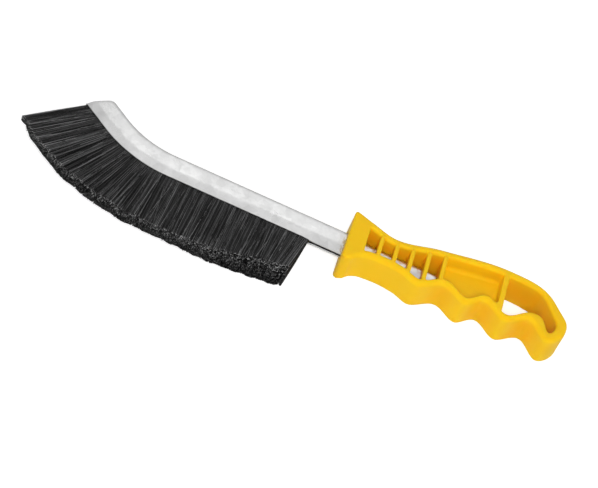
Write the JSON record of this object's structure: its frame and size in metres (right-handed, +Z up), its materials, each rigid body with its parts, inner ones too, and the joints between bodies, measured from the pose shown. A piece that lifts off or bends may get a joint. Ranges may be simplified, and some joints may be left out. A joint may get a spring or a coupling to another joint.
{
  "type": "hand scrub brush",
  "caption": "Knife-shaped scrub brush: black filaments pinched in a bent steel channel with a round back, in a moulded handle with finger grooves, windows and an end loop.",
  "frame": {"origin": "middle of the lower side face of the handle's collar, on the channel's axis, with the brush lying on its side", "axes": "+X along the handle towards its butt, +Y from the filament tips towards the channel's back, +Z up through the handle's thickness"},
  "size_m": [0.2842, 0.0623, 0.0195],
  "materials": {
    "handle_plastic": "satin moulded yellow plastic",
    "channel_steel": "bright galvanised sheet",
    "wire_steel": "drawn wire",
    "filament_nylon": "black nylon filament"
  },
  "bodies": {
    "root": {"handle": "handle_plastic", "channel": "channel_steel", "core_wire": "wire_steel", "filaments_1": "filament_nylon", "filaments_2": "filament_nylon", "filaments_3": "filament_nylon", "filaments_4": "filament_nylon", "filaments_5": "filament_nylon", "filaments_6": "filament_nylon", "filaments_7": "filament_nylon", "filaments_8": "filament_nylon"}
  },
  "joints": []
}
